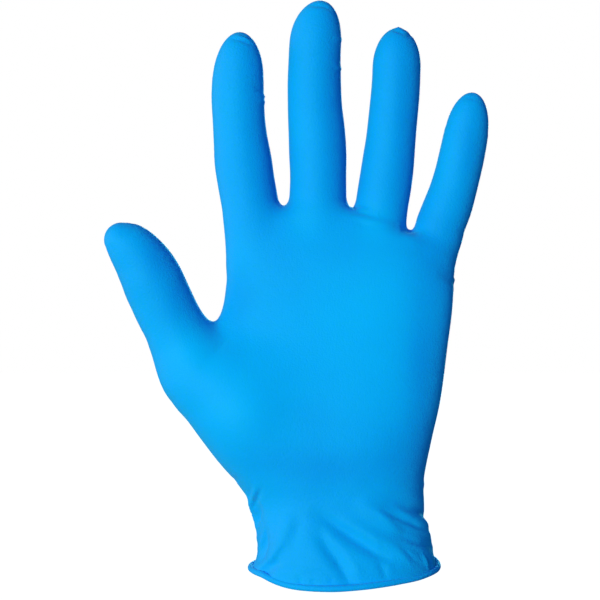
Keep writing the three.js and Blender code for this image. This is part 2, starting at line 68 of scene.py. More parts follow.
# How fine the film's mesh is, before each of its faces is parted in four
mesh = {
    "across": 2.05,  # millimetres from vertex to vertex
    "rows": [(-0.65, 1.3), (46.0, 2.3), (168.0, 1.6), (238.0, 1.6)],  # from a height, spacing
    "evenings": 8,  # rounds of evening out before the faces are parted, and after
    "lastEvenings": 2,
    "warpHeight": 32.0,  # up to here the rows still follow the rim's rise and fall
    "flareHeight": 1.4,  # the last stretch, which turns out into the bead
    "flareApart": 0.4,  # from there to either face of the film
    "slopeStep": 0.2,
    "leastSlope": 0.3,
    "longestStep": 1.0,  # a vertex moves no further than this at once
    "shaftPoints": 28,  # along each finger, then round its tip
    "tipPoints": 14,
    "thumbPoints": 56,
}

# Half outlines of the column. Heights are shares of the part's height, and the four reaches
# shares of its width and depth.
column = [
    ("part", "height", "thumbSide", "littleSide", "palmSide", "backSide"),
    ("cuff", -0.8, -0.486, 0.486, -0.482, 0.482),
    ("cuff", 0.0, -0.486, 0.486, -0.482, 0.482),
    ("cuff", 0.1, -0.471, 0.485, -0.476, 0.476),
    ("cuff", 0.24, -0.463, 0.472, -0.466, 0.466),
    ("cuff", 0.6, -0.474, 0.436, -0.43, 0.43),
    ("wrist", 0.0, -0.51, 0.451, -0.5, 0.49),
    ("palm", 0.06, -0.396, 0.335, -0.7, 0.65),
    ("palm", 0.19, -0.44, 0.365, -0.75, 0.61),
    ("palm", 0.33, -0.492, 0.403, -0.73, 0.57),
    ("palm", 0.5, -0.531, 0.432, -0.64, 0.53),
    ("palm", 0.7, -0.503, 0.46, -0.53, 0.5),
    ("palm", 0.85, -0.481, 0.444, -0.45, 0.47),
    ("palm", 1.0, -0.456, 0.457, -0.28, 0.34),
    ("palm", 1.1, -0.44, 0.45, -0.12, 0.18),
]

# How square the column's sections are: 2 is an ellipse
roundness = [
    ("part", "height", "power"),
    ("cuff", 0.8, 2.35),
    ("palm", 0.4, 2.7),
]

# Where the palm ends between the fingers: shares of the palm's width and height
webLine = [
    ("across", "height"),
    (-0.6, 0.968),
    (-0.1, 1.003),
    (0.05, 0.984),
    (0.22, 0.92),
    (0.34, 0.89),
    (0.55, 0.794),
]

# Length and width in millimetres, lean in degrees away from the thumb, the place on the line
# of the webs, curl as a share of the length, and the reach of the tip
fingers = [
    ("name", "length", "width", "lean", "across", "height", "curl", "tipReach"),
    ("index", 69.8, 23.4, -3.8, -0.398, 1.004, 0.12, 1.91),
    ("middle", 82.9, 23.9, 1.3, -0.112, 1.0, 0.1, 1.67),
    ("ring", 72.4, 21.7, 5.3, 0.158, 0.997, 0.12, 1.62),
    ("little", 54.6, 20.7, 13.4, 0.409, 0.938, 0.15, 1.96),
]
fingerBow = [
    ("along", "index", "middle", "ring", "little"),
    (0.0, 0.0, 0.0, 0.0, 0.0),
    (0.17, -0.018, -0.002, 0.011, 0.023),
    (0.34, -0.029, -0.011, 0.016, 0.033),
    (0.5, -0.033, -0.026, 0.017, 0.033),
    (0.67, -0.028, -0.032, 0.016, 0.026),
    (0.84, -0.008, -0.027, 0.006, 0.014),
    (1.0, 0.01, 0.005, -0.004, 0.005),
]
fingerGirth = [
    ("along", "index", "middle", "ring", "little"),
    (-0.3, 0.866, 0.88, 0.88, 0.849),
    (-0.1, 0.961, 0.95, 0.969, 0.959),
    (0.0, 0.982, 0.971, 0.977, 0.957),
    (0.14, 0.987, 0.948, 0.982, 0.949),
    (0.26, 0.989, 0.969, 0.962, 0.913),
    (0.38, 0.933, 0.951, 0.922, 0.891),
    (0.5, 0.902, 0.913, 0.908, 0.884),
    (0.62, 0.905, 0.897, 0.902, 0.87),
    (0.74, 0.884, 0.872, 0.89, 0.846),
    (1.0, 0.877, 0.866, 0.888, 0.832),
]

# The thumb from the ball at its root to its tip: its base in shares of the palm's sizes, and
# the rest in shares of its own length and width
thumb = {
    "length": 58.0,
    "width": 26.4,
    "lean": -28.4,
    "across": -0.68,
    "forward": -0.3,
    "height": 0.52,
}
thumbPath = [
    ("along", "sideways", "forward", "girth"),
    (-1.1, 0.248, 0.115, 1.196),
    (-0.954, 0.192, 0.09, 1.327),
    (-0.768, 0.154, 0.05, 1.412),
    (-0.604, 0.132, 0.02, 1.436),
    (-0.417, 0.069, 0.005, 1.275),
    (-0.231, -0.015, -0.004, 1.085),
    (0.03, 0.0, 0.0, 0.957),
    (0.38, 0.027, -0.04, 0.933),
    (0.52, 0.035, -0.06, 0.931),
    (0.64, 0.037, -0.08, 0.845),
    (0.77, 0.017, -0.11, 0.706),
    (0.845, -0.015, -0.135, 0.516),
]

# How softly the thumb runs into the palm, over the palm's height
thumbBlend = [
    ("height", "softness"),
    (0.0, 1.0),
    (0.25, 1.0),
    (0.47, 1.5),
    (0.6, 1.114),
    (0.8, 0.485),
]

# Gathers of the cuff. Each runs from one place to another, given in degrees round the cuff
# (0 the palm, 90 the little finger) and shares of the cuff's height. Width is a share of that
# height and rise of the puckers.
gathers = [
    ("around", "height", "toAround", "toHeight", "width", "rise"),
    (-82, 1.0, -92, 0.6, 0.12, -0.5),
    (-70, 0.98, -84, 0.62, 0.13, 0.5),
    (-60, 0.9, -80, 0.6, 0.12, -0.6),
    (-58, 0.62, -66, 0.14, 0.13, -0.5),
    (-37, 0.72, -54, 0.2, 0.17, 0.45),
    (-46, 0.1, -60, -0.06, 0.12, -0.6),
    (-13, 0.76, 26, 0.21, 0.17, -0.7),
    (-16, 0.52, 3, -0.12, 0.15, -0.5),
    (15, 0.96, 38, 0.6, 0.17, 0.45),
    (4, 0.66, 44, 0.2, 0.16, 0.35),
    (38, 0.98, 92, 0.7, 0.12, -0.35),
    (44, 0.86, 94, 0.5, 0.12, 0.4),
    (60, 0.6, 94, 0.36, 0.09, 0.25),
    (62, 0.34, 92, 0.18, 0.12, -0.25),
    (118, 0.9, 146, 0.3, 0.17, -0.6),
    (136, 0.95, 166, 0.25, 0.17, 0.5),
    (-172, 0.85, -178, 0.3, 0.17, -0.5),
    (-122, 0.92, -152, 0.25, 0.17, -0.6),
    (-104, 0.75, -126, 0.2, 0.16, 0.5),
]

# Creases of the palm side: places are shares of the palm's width and height, width of its
# width, and rise of the crease's depth
creases = [
    ("across", "height", "toAcross", "toHeight", "width", "rise"),
    (0.1, 0.975, 0.26, 0.925, 0.022, -0.15),
    (0.27, 0.92, 0.3, 0.9, 0.02, -0.1),
    (0.4, 0.768, 0.475, 0.733, 0.016, -0.6),
]

# Finer folds of the palm side, drawn on the finished film. Width and rise are in millimetres,
# and each path is a line of places across and up as seen from the palm side.
fineFolds = [
    ("where", "width", "rise", "path"),
    ("cuff", 1.3, 0.6, [(-35.8, 32.9), (-36.9, 28.6), (-37.8, 25.0)]),
    ("cuff", 1.3, -0.7, [(-33.8, 32.1), (-35.1, 28.8), (-36.4, 25.6), (-37.3, 23.6)]),
    ("cuff", 1.1, -0.3, [(-38.0, 33.3), (-38.1, 27.2)]),
    ("cuff", 2.6, 0.4, [(-21.8, 22.2), (-23.0, 16.7), (-25.2, 11.0), (-27.6, 7.1)]),
    ("cuff", 1.4, 0.6, [(-25.6, 11.0), (-27.8, 7.4), (-29.4, 4.6), (-33.6, 1.3)]),
    ("cuff", 2.0, -0.5, [(-26.5, 20.5), (-28.4, 14.0), (-31.2, 8.0)]),
    ("cuff", 1.4, 0.45, [(-30.9, 19.7), (-32.6, 13.2), (-34.5, 7.0)]),
    ("cuff", 1.5, -0.4, [(-33.0, 21.8), (-34.4, 15.1), (-35.8, 8.7)]),
    ("cuff", 1.7, -0.45, [(-34.2, 0.5), (-30.9, -1.6)]),
    ("cuff", 2.1, -0.25, [(-18.0, 21.3), (-19.2, 14.9), (-21.5, 8.1)]),
    ("cuff", 2.4, -0.5, [
        (-9.3, 22.6), (-2.6, 17.5), (3.0, 14.1), (8.4, 10.4), (12.7, 7.2), (16.5, 5.3),
    ]),
    ("cuff", 1.7, 0.25, [(11.3, 13.7), (12.5, 11.3), (13.7, 8.7)]),
    ("cuff", 1.6, -0.45, [(13.4, 3.8), (15.2, 0.3), (16.3, -2.9)]),
    ("cuff", 1.7, 0.25, [(17.3, 3.7), (18.4, 0.2)]),
    ("cuff", 2.9, -0.45, [(-9.8, 16.8), (-8.2, 12.0), (-5.8, 7.7), (-2.0, 2.7)]),
    ("cuff", 1.7, -0.5, [(-3.0, 3.8), (-0.3, -0.4), (1.6, -4.3)]),
    ("cuff", 2.1, 0.3, [(0.1, 6.3), (4.1, 2.4), (5.7, -2.3)]),
    ("cuff", 1.4, -0.4, [(-16.5, -0.5), (-11.0, 0.2), (-5.0, -0.4)]),
    ("cuff", 1.2, -0.5, [(-18.7, -2.2), (-17.7, -4.9)]),
    ("cuff", 1.0, -0.45, [(-12.7, -2.8), (-12.6, -4.8)]),
    ("cuff", 1.0, -0.4, [(-5.8, -2.3), (-5.4, -4.7)]),
    ("cuff", 1.0, -0.38, [(14.9, 24.6), (18.8, 22.3), (24.4, 19.4), (29.0, 17.1), (34.2, 14.7)]),
    ("cuff", 1.6, 0.3, [(13.3, 23.5), (16.9, 20.3), (20.6, 16.6)]),
    ("cuff", 1.2, 0.32, [(21.0, 19.9), (25.1, 17.2), (29.7, 15.1), (35.0, 12.9)]),
    ("cuff", 1.9, -0.45, [(21.3, 26.5), (27.3, 23.2), (32.8, 19.5)]),
    ("cuff", 1.4, 0.35, [(21.8, 23.5), (26.8, 20.7), (33.2, 17.3)]),
    ("cuff", 1.6, -0.3, [(20.1, 14.8), (26.3, 12.1), (34.0, 9.2)]),
    ("cuff", 1.4, 0.28, [(23.0, 11.3), (27.9, 9.3), (34.4, 7.0)]),
    ("cuff", 1.1, -0.35, [(22.7, 9.7), (26.3, 6.0), (29.9, 2.5)]),
    ("cuff", 1.0, 0.25, [(20.9, 8.0), (24.1, 4.9), (26.9, 1.8)]),
    ("cuff", 0.9, 0.5, [(30.8, 6.7), (32.6, 3.2), (33.8, -0.6)]),
    ("cuff", 1.0, -0.4, [(33.9, 3.3), (34.8, -0.2)]),
    ("cuff", 1.7, -0.2, [(6.6, 35.4), (17.0, 34.2), (30.3, 32.6)]),
    ("cuff", 1.7, -0.16, [(13.8, 30.9), (29.4, 28.5)]),
    ("tip", 0.9, -0.42, [(-45.3, 213.0), (-43.0, 212.9), (-40.7, 212.4), (-37.6, 210.9)]),
    ("tip", 0.8, 0.25, [(-44.4, 214.3), (-41.0, 213.7), (-37.8, 212.4)]),
    ("tip", 0.8, -0.3, [(-41.9, 214.8), (-38.1, 213.6)]),
    ("tip", 0.9, -0.42, [(-13.8, 226.5), (-11.1, 226.6), (-8.4, 226.2), (-5.8, 225.1)]),
    ("tip", 0.9, -0.4, [(20.0, 216.6), (21.7, 216.1), (23.7, 215.1)]),
    ("tip", 1.2, 0.25, [(21.1, 217.8), (22.5, 217.7)]),
    ("tip", 1.0, -0.3, [(24.7, 214.7), (27.1, 214.8)]),
    ("tip", 0.8, -0.32, [(48.4, 189.5), (50.7, 189.4), (53.1, 188.8)]),
    ("tip", 0.8, -0.25, [(50.6, 190.8), (52.8, 190.7)]),
    ("edge", 3.5, -0.6, [(-93.2, 116.5), (-89.0, 110.0)]),
    ("edge", 4.0, -0.6, [(-82.8, 95.5), (-79.0, 88.5)]),
    ("edge", 5.5, -0.45, [(-73.0, 69.2), (-67.2, 63.6)]),
    ("edge", 3.2, -0.5, [(-46.0, 36.6), (-42.8, 34.2)]),
    ("edge", 2.5, -0.65, [(-38.8, 21.6), (-35.6, 20.0)]),
    ("edge", 2.0, 0.5, [(-37.0, 11.4), (-34.2, 10.6)]),
    ("edge", 2.2, 0.55, [(31.4, 33.4), (34.4, 33.0)]),
    ("edge", 2.4, 0.9, [(33.8, 21.4), (37.2, 20.2)]),
    ("edge", 3.0, 0.7, [(35.2, 8.6), (38.6, 6.8)]),
    ("nick", 0.9, 0.6, [(-34.6, 190.9), (-31.4, 190.2)]),
    ("nick", 0.9, 0.55, [(-34.6, 188.6), (-31.4, 188.1)]),
    ("nick", 0.9, -0.3, [(-36.6, 194.6), (-34.5, 192.6), (-32.6, 191.4)]),
    ("nick", 0.9, 0.5, [(-3.6, 213.6), (-0.6, 213.1)]),
    ("nick", 0.9, 0.5, [(-3.6, 202.2), (-0.6, 201.6)]),
    ("index", 1.6, -0.13, [(-48.8, 164.9), (-41.0, 165.1), (-33.4, 165.1)]),
    ("index", 1.4, -0.13, [(-50.5, 161.6), (-42.3, 161.1), (-35.0, 161.8)]),
    ("index", 1.4, -0.1, [(-48.0, 159.1), (-38.2, 159.3)]),
    ("ring", 1.2, -0.6, [(2.9, 146.1), (5.2, 145.0)]),
    ("ring", 1.2, 0.35, [(2.9, 144.8), (6.5, 144.6), (10.1, 143.6)]),
    ("ring", 1.2, -0.35, [(5.3, 143.5), (8.5, 142.9), (12.5, 141.5)]),
    ("ring", 1.9, 0.25, [(2.0, 142.2), (8.3, 140.0), (15.7, 139.0), (22.4, 138.2)]),
    ("ring", 1.9, -0.2, [(2.8, 140.2), (9.2, 138.0), (16.5, 137.2)]),
    ("ring", 0.9, -0.4, [(24.8, 136.6), (25.7, 135.2)]),
    ("ring", 1.0, 0.3, [(22.1, 139.0), (22.0, 135.2)]),
    ("ring", 1.0, -0.2, [(23.6, 139.0), (23.5, 134.8)]),
    ("palm", 1.3, -0.4, [(40.1, 120.2), (42.2, 119.0), (45.0, 116.9)]),
    ("palm", 1.0, 0.55, [(42.8, 116.5), (45.8, 115.6)]),
    ("palm", 0.9, -0.3, [(43.6, 114.5), (45.9, 114.0)]),
    ("palm", 1.6, -0.16, [(36.8, 123.1), (45.2, 120.8)]),
]

# How deep the folds of each place are drawn, in shares of their rise
fineDepths = {
    "edge": 1.0,
    "cuff": 1.25,
    "tip": 2.1,
    "nick": 1.0,
    "index": 1.3,
    "ring": 1.2,
    "palm": 1.0,
}

# How far folds reach
foldEnds = {
    "past": 0.2,  # gathers and creases fade out this share of their length past their ends
    "fineStart": 0.12,  # finer folds start this share of the way up their fade
    "cuffTop": 1.3,  # no gather reaches higher, as a share of the cuff's height
    "turnedAway": 0.45,  # finer folds stay off film that is turned away from the palm side
    "turning": 0.6,  # and grow to their full rise over this much of a turn
}

# Painted light and painted shade in the film's colour: places with a positive share are painted
# paler where the light falls most fully, and places with a negative share are painted deeper
# where shade falls beside the webs, on the flanks and at the edges. The same value also flattens
# the grain. Each place has its middle and half sizes in millimetres, and the share of painted
# light or shade there.
paintedLightAndSmoothingPlaces = [
    ("across", "height", "halfWidth", "halfHeight", "share"),
    (2, 90, 30, 38, 0.9),
    (20, 118, 22, 20, 0.4),
    (30.5, 80, 6, 32, -0.9),
    (39, 62, 5, 16, 0.8),
    (37, 124, 7, 18, -0.7),
    (27, 135, 5, 4, 0.6),
    (35, 12, 6, 14, 0.7),
    (-40, 68, 16, 16, 0.8),
    (-57, 88, 14, 10, 0.8),
    (-44, 104, 6, 14, -0.5),
    (-5, 42, 30, 7, -0.5),
    (-13, 61, 12, 9, -0.3),
    (20, 50, 9, 9, -0.4),
    (-18, 138, 10, 8, 0.4),
    (11, 138, 10, 8, 0.5),
    (-28, 160, 6, 24, -1.2),
    (2, 163, 6, 26, -1.0),
    (28, 157, 6, 24, -0.6),
    (-75, 124, 5, 8, -0.7),
    (-67, 110, 5, 8, -0.7),
    (-38, 188, 4, 34, -0.4),
    (-6, 190, 4, 38, -0.5),
    (23, 180, 4, 34, -0.5),
    (50, 170, 4, 16, -0.5),
]

# The rim, on the middle of the bead: reach is a share of the opening's half sizes, and lift of
# the cuff's height
rim = [
    ("around", "reach", "lift"),
    (-180, 1.0, 0.2),
    (-150, 1.0, 0.15),
    (-120, 1.0, 0.03),
    (-90, 1.0, -0.027),
    (-74, 1.0, -0.05),
    (-61, 1.0, -0.075),
    (-52, 1.0, -0.122),
    (-43, 1.0, -0.17),
    (-34, 1.0, -0.204),
    (-22, 1.0, -0.223),
    (-8, 1.0, -0.226),
    (6, 1.0, -0.207),
    (20, 1.0, -0.175),
    (35, 1.0, -0.138),
    (50, 1.0, -0.104),
    (65, 1.0, -0.06),
    (78, 1.0, -0.03),
    (90, 1.0, 0.0),
    (110, 1.0, 0.08),
    (150, 1.0, 0.18),
    (180, 1.0, 0.2),
]


def rowsOf(table):
    # The rows of a table as dictionaries, by the names in its first row
    names, *rows = table
    return [dict(zip(names, row)) for row in rows]


def curveThrough(rows):
    # A smooth curve through rows of numbers that start with the place along it
    table = np.array(rows, float)
    at = table[:, 0]
    last = len(at) - 1

    def curve(place):
        place = np.asarray(place, float)
        i = np.clip(np.searchsorted(at, place) - 1, 0, last - 1)
        a, b = table[i], table[i + 1]
        before, after = table[np.maximum(i - 1, 0)], table[np.minimum(i + 2, last)]
        span = (b - a)[..., :1]
        t = np.clip((place[..., None] - a[..., :1]) / span, 0, 1)
        slopeA = (b - before) / (b - before)[..., :1] * span
        slopeB = (after - a) / (after - a)[..., :1] * span
        values = (
            a * (2 * t**3 - 3 * t**2 + 1)
            + slopeA * (t**3 - 2 * t**2 + t)
            + b * (3 * t**2 - 2 * t**3)
            + slopeB * (t**3 - t**2)
        )
        return np.moveaxis(values[..., 1:], -1, 0)

    return curve


def softMin(a, b, radius):
    # The smaller of two distances, with the edge between them rounded
    overlap = np.maximum(radius - np.abs(a - b), 0) / radius
    return np.minimum(a, b) - overlap**2 * radius / 4


def smootherMin(a, b, radius):
    # The same with no step in the curvature, for shapes that run into each other broadly
    overlap = np.maximum(radius - np.abs(a - b), 0) / radius
    return np.minimum(a, b) - overlap**3 * radius / 6


columnParts = {
    "cuff": (0.0, film["cuffHeight"], film["cuffWidth"], film["cuffDepth"]),
    "wrist": (film["cuffHeight"], film["palmHeight"], film["wristWidth"], film["wristDepth"]),
    "palm": (film["cuffHeight"], film["palmHeight"], film["palmWidth"], film["palmDepth"]),
}


def columnRows():
    for row in rowsOf(column):
        foot, height, width, depth = columnParts[row["part"]]
        yield (
            foot + row["height"] * height,
            row["thumbSide"] * width,
            row["littleSide"] * width,
            row["palmSide"] * depth,
            row["backSide"] * depth,
        )


columnAt = curveThrough(list(columnRows()))
webHeightAt = curveThrough([
    (row["across"] * film["palmWidth"], film["cuffHeight"] + row["height"] * film["palmHeight"])
    for row in rowsOf(webLine)
])


def sectionAt(z):
    left, right, front, back = columnAt(z)
    return (left + right) / 2, (front + back) / 2, (right - left) / 2, (back - front) / 2


roundnessAt = curveThrough([
    (columnParts[row["part"]][0] + row["height"] * columnParts[row["part"]][1], row["power"])
    for row in rowsOf(roundness)
])


def columnDistance(p):
    middleX, middleY, halfX, halfY = sectionAt(p[:, 2])
    n = roundnessAt(p[:, 2])[0]
    leastValue, leastSlope = 1e-3, 1e-4  # keep the middle of the column from dividing by nothing
    u, v = np.abs(p[:, 0] - middleX) / halfX, np.abs(p[:, 1] - middleY) / halfY
    value = np.maximum((u**n + v**n) ** (1 / n), leastValue)
    slope = np.hypot((u / value) ** (n - 1) / halfX, (v / value) ** (n - 1) / halfY)
    return (value - 1) / np.maximum(slope, leastSlope)


def limbDistance(limb, p, reach):
    # A round limb: rows of x, y, z and radius along a path, flattened from palm to back
    flat = np.array([1.0, 1 / film["fingerDepth"], 1.0])
    places, radii = limb[:, :3], limb[:, 3]
    low = (places - radii[:, None]).min(0) - reach
    high = (places + radii[:, None]).max(0) + reach
    near = ((p > low) & (p < high)).all(1)
    q, places = p[near] * flat, places * flat
    nearest = np.full(len(q), far)
    for a, b, ra, rb in zip(places[:-1], places[1:], radii[:-1], radii[1:]):
        run, away = b - a, q - a
        t = np.clip(away @ run / (run @ run), 0, 1)
        reached = np.linalg.norm(away - t[:, None] * run, axis=1) - (ra + (rb - ra) * t)
        nearest = np.minimum(nearest, reached)
    distance = np.full(len(p), far)
    distance[near] = nearest
    return distance


def fingerLimb(row):
    # A bowed path from inside the palm to an egg-shaped tip
    length, lie = row["length"], math.radians(row["lean"])
    baseX = row["across"] * film["palmWidth"]
    baseZ = film["cuffHeight"] + row["height"] * film["palmHeight"]
    girthAt = curveThrough([(g["along"], g[row["name"]]) for g in rowsOf(fingerGirth)])
    bowAt = curveThrough([(b["along"], b[row["name"]]) for b in rowsOf(fingerBow)])
    halfTip = girthAt(1.0)[0] * row["width"] / 2
    reach = row["tipReach"] * halfTip
    shaft = length - reach
    balls = mesh["tipPoints"]
    ballRun = (reach**2 - halfTip**2) / reach
    tip = ballRun * np.arange(1, balls + 1) / balls
    s = np.concatenate([np.linspace(-film["fingerBury"], shaft, mesh["shaftPoints"]), shaft + tip])
    share = s / length
    radius = girthAt(share)[0] * row["width"] / 2
    radius[-balls:] = halfTip * np.sqrt(1 - tip**2 / (reach**2 - halfTip**2))
    aside = bowAt(share)[0] * length
    return np.stack([
        baseX + math.sin(lie) * s + math.cos(lie) * aside,
        film["palmDepth"] * film["fingersBack"] - row["curl"] * length * share * np.abs(share),
        baseZ + math.cos(lie) * s - math.sin(lie) * aside,
        radius,
    ], axis=1)


def thumbLimb():
    lie = math.radians(thumb["lean"])
    rows = [tuple(row.values()) for row in rowsOf(thumbPath)]
    share = np.linspace(rows[0][0], rows[-1][0], mesh["thumbPoints"])
    sideways, forward, girth = curveThrough(rows)(share)
    s, aside = share * thumb["length"], sideways * thumb["length"]
    return np.stack([
        thumb["across"] * film["palmWidth"] + math.sin(lie) * s + math.cos(lie) * aside,
        thumb["forward"] * film["palmDepth"] + forward * thumb["length"],
        film["cuffHeight"] + thumb["height"] * film["palmHeight"]
        + math.cos(lie) * s - math.sin(lie) * aside,
        girth * thumb["width"] / 2,
    ], axis=1)


def ridge(away, width):
    # The section of a fold at a distance from its line
    return np.exp(-2 * (away / width) ** 2)


def foldLift(folds, u, v):
    # How much a list of straight folds lifts the film at places on a flat map
    lift = np.zeros(len(u))
    past = foldEnds["past"]
    for fromU, fromV, toU, toV, width, rise in folds:
        du, dv = toU - fromU, toV - fromV
        length = math.hypot(du, dv)
        t = ((u - fromU) * du + (v - fromV) * dv) / length**2
        away = ((u - fromU) * dv - (v - fromV) * du) / length
        fade = np.sin(np.pi * np.clip((t + past) / (1 + 2 * past), 0, 1))
        lift += rise * fade * ridge(away, width)
    return lift


cuffRadius = (film["cuffWidth"] + film["cuffDepth"]) / 4
gatherLines = [
    (
        math.radians(g["around"]) * cuffRadius,
        g["height"] * film["cuffHeight"],
        math.radians(g["toAround"]) * cuffRadius,
        g["toHeight"] * film["cuffHeight"],
        g["width"] * film["cuffHeight"],
        g["rise"] * film["puckers"],
    )
    for g in rowsOf(gathers)
]
creaseLines = [
    (
        c["across"] * film["palmWidth"],
        film["cuffHeight"] + c["height"] * film["palmHeight"],
        c["toAcross"] * film["palmWidth"],
        film["cuffHeight"] + c["toHeight"] * film["palmHeight"],
        c["width"] * film["palmWidth"],
        c["rise"] * film["creaseDepth"],
    )
    for c in rowsOf(creases)
]


def foldsAt(p):
    lift = np.zeros(len(p))
    palmSide = p[:, 1] < 0
    lift[palmSide] += foldLift(creaseLines, p[palmSide, 0], p[palmSide, 2])
    low = p[:, 2] < film["cuffHeight"] * foldEnds["cuffTop"]
    x, y, z = p[low].T
    middleX, middleY, halfX, halfY = sectionAt(z)
    around = np.arctan2((x - middleX) / halfX, -(y - middleY) / halfY) * cuffRadius
    turn = 2 * math.pi * cuffRadius
    for shift in (-turn, 0, turn):
        lift[low] += foldLift(gatherLines, around + shift, z)
    return lift


fingerLimbs = [fingerLimb(row) for row in rowsOf(fingers)]
thumbLine = thumbLimb()
thumbBlendAt = curveThrough([
    (film["cuffHeight"] + row["height"] * film["palmHeight"], row["softness"] * film["thumbWeb"])
    for row in rowsOf(thumbBlend)
])
softestBlend = max(row["softness"] for row in rowsOf(thumbBlend)) * film["thumbWeb"]
betweenFingers = film["fingerWeb"] / 3  # how softly one finger meets the next
limbMargin = 3.0  # millimetres past a blend up to which a limb's distance is worked out


def gloveForm(p):
    # Negative inside the film's outer face, in millimetres near it
    web = film["fingerWeb"]
    palm = -softMin(-columnDistance(p), webHeightAt(p[:, 0])[0] - p[:, 2], web)
    blend = thumbBlendAt(p[:, 2])[0]
    form = smootherMin(palm, limbDistance(thumbLine, p, softestBlend + limbMargin), blend)
    spread = np.full(len(p), far)
    for limb in fingerLimbs:
        spread = softMin(spread, limbDistance(limb, p, web + limbMargin), betweenFingers)
    return softMin(form, spread, web) - foldsAt(p) - film["skin"]


def slopeAt(p):
    # The form's slope, from its values at the corners of a small tetrahedron
    corners = np.array([(1, -1, -1), (-1, -1, 1), (-1, 1, -1), (1, 1, 1)], float)
    step = mesh["slopeStep"]
    return sum(k * gloveForm(p + k * step)[:, None] for k in corners) / (len(corners) * step)


rimAt = curveThrough([tuple(row.values()) for row in rowsOf(rim)])


def rimPoint(turn):
    # The middle of the bead at a turn round the opening
    reach, lift = rimAt(np.degrees(np.arctan2(np.sin(turn), np.cos(turn))))
    return np.stack([
        np.sin(turn) * reach * film["cuffWidth"] / 2,
        -np.cos(turn) * reach * film["cuffDepth"] / 2,
        lift * film["cuffHeight"],
    ], axis=-1)


def turnOf(x, y):
    return np.arctan2(x / film["cuffWidth"], -y / film["cuffDepth"])


def closeCorners(inside):
    # Fills in corners that would leave two sheets of the net touching along one edge
    touching = True
    while touching:
        touching = False
        for u, v in ((0, 1), (0, 2), (1, 2)):
            def corner(a, b):
                cut = [slice(None)] * 3
                cut[u] = slice(a, inside.shape[u] - 1 + a)
                cut[v] = slice(b, inside.shape[v] - 1 + b)
                return inside[tuple(cut)]
            p, q, r, s = corner(0, 0), corner(1, 0), corner(1, 1), corner(0, 1)
            found = (p == r) & (q == s) & (p != q)
            if found.any():
                touching = True
                fillQ, fillP = found & p, found & ~p
                q |= fillQ
                p |= fillP


def gridLines():
    everyLimb = np.concatenate([*fingerLimbs, thumbLine])
    margin = 3 * mesh["across"]
    low = (everyLimb[:, :3] - everyLimb[:, 3:]).min(0) - margin
    high = (everyLimb[:, :3] + everyLimb[:, 3:]).max(0) + margin
    half = film["cuffDepth"] / 2 + margin
    x = np.arange(low[0], high[0] + mesh["across"], mesh["across"])
    y = np.arange(min(low[1], -half), half + mesh["across"], mesh["across"])
    z = [np.arange(a, b, gap) for (a, gap), (b, _) in zip(mesh["rows"], mesh["rows"][1:])]
    return x, y, np.concatenate(z)


def warped(x, y, height):
    # The rows of the net rise and fall with the rim, less and less up the wrist
    lift = rimPoint(turnOf(x, y))[..., 2]
    return height + lift * np.clip(1 - height / mesh["warpHeight"], 0, 1) ** 2


def edgesOf(quads):
    pairs = np.concatenate([quads[:, [i, (i + 1) % 4]] for i in range(4)])
    return np.unique(np.sort(pairs, axis=1), axis=0, return_inverse=True)


def netSurface():
    # One vertex in each cell that the surface passes through, one quad round each crossed edge
    x, y, heights = gridLines()
    shape = (len(x), len(y), len(heights))
    grid = np.stack(np.meshgrid(x, y, heights, indexing="ij"), axis=-1).reshape(-1, 3)
    places = grid.copy()
    places[:, 2] = warped(*grid.T)
    value = gloveForm(places).reshape(shape)
    places = places.reshape(*shape, 3)
    inside = value < 0
    closeCorners(inside)

    cells = tuple(n - 1 for n in shape)
    total, count = np.zeros((3, math.prod(cells))), np.zeros(math.prod(cells))
    quads = []
    for axis, (u, v) in enumerate(((1, 2), (2, 0), (0, 1))):
        step = np.eye(3, dtype=int)[axis]
        first = inside[tuple(slice(0, n - d) for n, d in zip(shape, step))]
        second = inside[tuple(slice(d, None) for d in step)]
        here = np.argwhere(first != second)
        there = here + step
        a, b = value[tuple(here.T)], value[tuple(there.T)]
        t = np.where(a * b < 0, a / np.where(a == b, 1, a - b), 0.5)[:, None]
        crossing = places[tuple(here.T)] * (1 - t) + places[tuple(there.T)] * t
        around = []
        for du, dv in ((0, 0), (-1, 0), (-1, -1), (0, -1)):
            cell = here.copy()
            cell[:, u] += du
            cell[:, v] += dv
            real = ((cell >= 0) & (cell < cells)).all(1)
            held = np.clip(cell, 0, np.array(cells) - 1)
            flat = np.where(real, np.ravel_multi_index(held.T, cells), -1)
            around.append(flat)
            for k in range(3):
                total[k] += np.bincount(flat[real], crossing[real, k], len(count))
            count += np.bincount(flat[real], minlength=len(count))
        quad = np.stack(around, axis=1)
        outwards = first[tuple(here.T)]
        quad[~outwards] = quad[~outwards, ::-1]
        quads.append(quad[(quad >= 0).all(1)])
    used, quads = np.unique(np.concatenate(quads), return_inverse=True)
    points, quads = (total[:, used] / count[used]).T, quads.reshape(-1, 4)
    pairs, which = edgesOf(quads)
    onRim = np.zeros(len(points), bool)
    onRim[pairs[np.bincount(which.ravel()) == 1]] = True
    return points, quads, onRim


def ontoForm(points, onRim):
    # Draws each vertex onto the form, and those of the rim along the rim's own height
    slope = slopeAt(points)
    slope[onRim, 2] = 0
    step = gloveForm(points) / np.maximum((slope**2).sum(1), mesh["leastSlope"])
    points = points - slope * np.clip(step, -mesh["longestStep"], mesh["longestStep"])[:, None]
    points[onRim, 2] = rimPoint(turnOf(*points[onRim, :2].T))[:, 2]
    return points


def settle(points, quads, onRim, rounds):
    # Evens out the net along the surface and draws each vertex onto it
    pairs, _ = edgesOf(quads)
    toEach = np.concatenate([pairs, pairs[:, ::-1]])
    toEach = toEach[~onRim[toEach[:, 0]] | onRim[toEach[:, 1]]]
    count = np.bincount(toEach[:, 0], minlength=len(points))
    for _ in range(rounds):
        sums = [np.bincount(toEach[:, 0], points[toEach[:, 1], k], len(points)) for k in range(3)]
        middle = np.stack(sums, axis=1) / count[:, None]
        points = ontoForm(ontoForm((points + middle) / 2, onRim), onRim)
    return points


